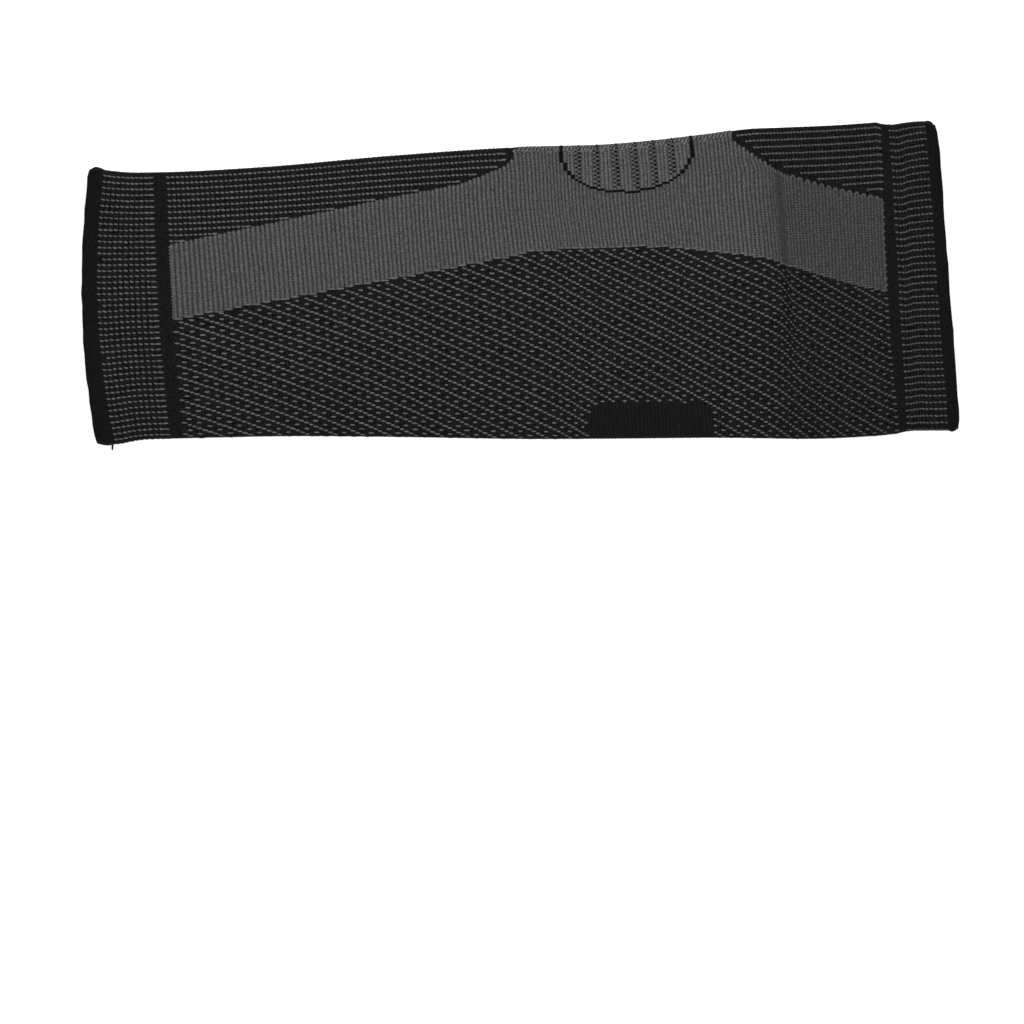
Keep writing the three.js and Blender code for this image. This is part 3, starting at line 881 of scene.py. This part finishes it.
# The grey band's own edges: each rib ends in a round tip at the wedges, and neighbouring ribs share a loop at
# the mesh and along the thigh wedge. At the thigh border every third wale runs on as a tooth.
tipLoop = {  # its width is a share of the course
    "width": 0.60, "height": 0.30, "sink": 0.26, "tilt": 3.0, "stray": 0.05, "length": 1.9, "inside": 1.0,
}
edgeLoop = {"width": 0.66, "height": 0.28, "sink": 0.20, "tilt": 2.0, "stray": 0.03, "joinFrom": 96.5}
meshJoin = {"length": 1.9, "place": 0.4}
tooth = {"every": 3, "length": 0.6, "width": 0.8}
calfLoop = {"every": 1.7, "place": 0.08, "turn": 60.0, "length": 0.9, "width": 0.5}
foldLoop = {
    "height": 0.26, "sink": 0.10, "tilt": 6.0, "stray": 0.10, "turn": -52.0, "length": 0.85, "lean": 0.25,
}
foldStroke = {"width": 0.46, "place": 0.25, "left": (1, 1, 1, 0.95, 0.75, 0.4)}  # left by wale from the fold
foldShadeStrip = {"width": 0.38, "place": 0.75, "left": (1, 1, 1, 0.8, 0.5, 0.1)}
greyZones = ("support_band", "kneecap_panel")
arch = {  # a loop over two ribs: courses along, columns up, degrees and mm of each of its strokes
    "limb": (0.58, -0.4, -80.0, 1.1), "shoulder": (0.75, 0.1, -40.0, 0.8), "top": (1.0, 0.3, 0.0, 0.7),
    "farShoulder": (1.25, 0.1, 40.0, 0.8), "farLimb": (1.42, -0.4, 80.0, 1.1),
}


def borderCrossings(border, face):  # course, and stitches from the front fold, where a crest meets a border
    crest = grid[steps // 2::steps]
    columns = fromFront(np.arange(0, wales + 1, walesPerStrip), face).astype(int) % around
    line = crest[:, columns]
    gap = line[..., 1] - np.interp(line[..., 0], *border.T)
    crossing = (gap[:, :-1] > 0) & (gap[:, 1:] <= 0)
    i, k = np.nonzero(crossing)
    part = gap[i, k] / (gap[i, k] - gap[i, k + 1])
    keep = np.isin(i, bodyCourses)
    return i[keep], ((k + part) * walesPerStrip)[keep]


def wedgeEdge(face):  # rib tips along both wedges, and arches over pairs of ribs at the thigh
    tips, loops = [], []
    for border in (shinBorder, thighBorder):
        i, across = borderCrossings(border, face)
        joined = grid[i * steps, 0, 0] > edgeLoop["joinFrom"]
        course = i[~joined] + 0.5
        column = fromFront(across[~joined] + tipLoop["inside"], face)
        width = tipLoop["width"] * pitchAt(course, column)
        tips.append(listed(course, column, 90 * face, tipLoop["length"], width))
    pairs = joined & ((i - bodyCourses[0]) % 2 == 1) & (i < bodyCourses[-1])
    for aside, up, turn, length in arch.values():
        column = fromFront(across[pairs] - up, face)
        loops.append(listed(i[pairs] + aside, column, turn * face, length, edgeLoop["width"]))
    return tips, loops


def meshEdge(face):
    i, across = borderCrossings(meshBorder, face)
    pairs = i % 2 == 0
    course = i[pairs] + 1.0
    column = fromFront(np.round(across[pairs]) - meshJoin["place"], face)
    return listed(course, column, 0.0, meshJoin["length"] * pitchAt(course, column), edgeLoop["width"])


def bandEnds(face):  # teeth at the thigh border, and slanting loops at the calf border
    wale = np.arange(tooth["every"] - 1, wales, tooth["every"])
    course = np.full(len(wale), bodyCourses[-1] + 0.5)
    column = waleColumn(course, wale + 0.5, face)
    column = column[zoneAt(course, column) == "support_band"]
    course = np.full(len(column), bodyCourses[-1] + 1.0)
    teeth = listed(course, column, 0.0, tooth["length"] * pitchAt(course - 1, column), tooth["width"])
    column = fromFront(np.arange(0.5, wales, calfLoop["every"]), face)
    column = column[zoneAt(np.full(len(column), bodyCourses[0] + 0.5), column) == "support_band"]
    course = np.full(len(column), bodyCourses[0] + calfLoop["place"])
    return [teeth, listed(course, column, calfLoop["turn"] * face, calfLoop["length"], calfLoop["width"])]


def overFrontFold(part, course, wale, column, face):  # slanting strokes of yarn, or dark strips of painted shade between them
    course = course + part["place"] - foldLoop["lean"] * face * wale
    kept = rng.random(len(wale)) < np.array(part["left"])[wale.astype(int)]
    kept &= np.isin(zoneAt(course, column), greyZones)
    return listed(course[kept], column[kept], foldLoop["turn"] * face, foldLoop["length"], part["width"])


tips, loops, strokes, foldShades = [], [], [], []
for face in (1, -1):
    wedgeTips, wedgeLoops = wedgeEdge(face)
    tips += wedgeTips
    loops += [*wedgeLoops, meshEdge(face), *bandEnds(face)]
    course, wale = np.meshgrid(bodyCourses, np.arange(len(foldStroke["left"])) + 0.5, indexing="ij")
    grey = np.isin(zoneAt(course + 0.5, fromFront(wale, face)), greyZones)
    course, wale = course[grey], wale[grey]
    for half, part in ((strokes, foldStroke), (foldShades, foldShadeStrip)):
        half.append(overFrontFold(part, course, wale, fromFront(wale, face), face))
for name, places, size, look in (
    ("band_rib_tips", tips, tipLoop, greyLoop), ("band_edge_loops", loops, edgeLoop, greyLoop),
    ("band_fold_highlight_loops", strokes, foldLoop, litLoop), ("band_fold_painted_shade", foldShades, foldLoop, paintedShadeLoop),
):
    pieces[name] = makeLoops(name, np.concatenate(places, axis=1), size, look)
print("band edges finished,", len(pieces), "pieces so far")

# Kneecap: a black line one stitch wide round the oval, and double rows of black dots
dotsEvery = 5  # courses
lineLoop = {"width": 1.0, "height": 0.34, "sink": 0.10, "tilt": 1.0, "stray": 0.0, "length": 1.0}
strongDot = {"width": 1.05, "height": 0.34, "sink": 0.10, "tilt": 4.0, "stray": 0.03, "length": 0.66}
weakDot = {"width": 0.84, "height": 0.30, "sink": 0.14, "tilt": 4.0, "stray": 0.03, "length": 0.52}
i, j = np.indices((courseCount, wales))
inCap = zoneAt(i + 0.5, j + 0.5) == "kneecap_panel"
beside = ~np.roll(inCap, 1, axis=0) | ~np.roll(inCap, -1, axis=0) | ~np.roll(inCap, -1, axis=1)
rim = np.nonzero(inCap & beside)


def dotPlaces(offset, parity):
    courses, marked = [], []
    for between in range(dotsEvery, kneecap["courses"] - 1, dotsEvery):
        course = kneecapStart + between + offset
        wale = np.nonzero(inCap[course])[0]
        wale = wale[(wale % 2 == parity) & (wale < wale.max() - 1)]
        courses.append(np.full(len(wale), course))
        marked.append(wale)
    return np.concatenate(courses), np.concatenate(marked)


def onBothFaces(course, count, size):
    columns = np.concatenate([fromFront(count + 0.5, face) for face in (1, -1)])
    course = np.tile(course, 2)
    return listed(course + 0.5, columns, 0.0, size["length"] * pitchAt(course + 0.5, columns), size["width"])


for name, marks, size, look in (
    ("kneecap_line", rim, lineLoop, blackLoop), ("kneecap_dots", dotPlaces(0, 0), strongDot, blackLoop),
    ("kneecap_small_dots", dotPlaces(-1, 1), weakDot, sunkLoop),
):
    pieces[name] = makeLoops(name, onBothFaces(*marks, size), size, look)
print("kneecap marked")


print("cloth made")

# Floor, light and camera
stage = {
    "floorSize": 6.0, "floorDrop": 0.02, "floorColour": "f2f2f2", "floorGlow": 0.35, "world": 0.6,
    "keyPower": 5.0, "keySize": 0.5, "keyPlace": (0.0, 0.06, 0.62),
}
camera = {"x": -5.5, "y": -75.8, "z": 1493.3, "roll": -2.5, "lens": 150.0, "sensor": 36.0}

floorMesh = bpy.data.meshes.new("floor")
floorHalf = stage["floorSize"] / 2
floorCorners = [(floorHalf * x, floorHalf * y, 0) for x, y in ((-1, -1), (1, -1), (1, 1), (-1, 1))]
floorMesh.from_pydata(floorCorners, [], [(0, 1, 2, 3)])
floor = addObject("floor", floorMesh)
floor.location.z = -stage["floorDrop"] * mm
board, tree = newMaterial("matt white board")
shader = addNode(tree, "BsdfPrincipled", {
    "Base Color": hexColour(stage["floorColour"]), "Roughness": 0.9, "Specular IOR Level": 0.2,
    "Emission Color": (1, 1, 1, 1), "Emission Strength": stage["floorGlow"]})
addNode(tree, "OutputMaterial", {"Surface": shader[0]})
floorMesh.materials.append(board)
floor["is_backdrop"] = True

world = bpy.data.worlds.new("white studio")
world.use_nodes = True
sky = world.node_tree.nodes["Background"].inputs
sky["Color"].default_value = (1, 1, 1, 1)
sky["Strength"].default_value = stage["world"]
scene.world = world
scene.view_settings.view_transform = "Standard"

key = bpy.data.lights.new("soft key", "AREA")
key.energy, key.size = stage["keyPower"], stage["keySize"]
keyLamp = addObject("soft key", key)
keyLamp.location = stage["keyPlace"]
keyLamp.rotation_euler = keyLamp.location.to_track_quat("Z", "Y").to_euler()
keyLamp.visible_camera = False

lens = bpy.data.cameras.new("above")
lens.lens, lens.sensor_width = camera["lens"], camera["sensor"]
above = addObject("above", lens)
above.location = [camera[axis] * mm for axis in "xyz"]
above.rotation_euler = (0, 0, math.radians(camera["roll"]))
scene.camera = above

triangles = sum(len(p.vertices) - 2 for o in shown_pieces() for p in o.data.polygons)
print("stage set,", triangles, "triangles in all")
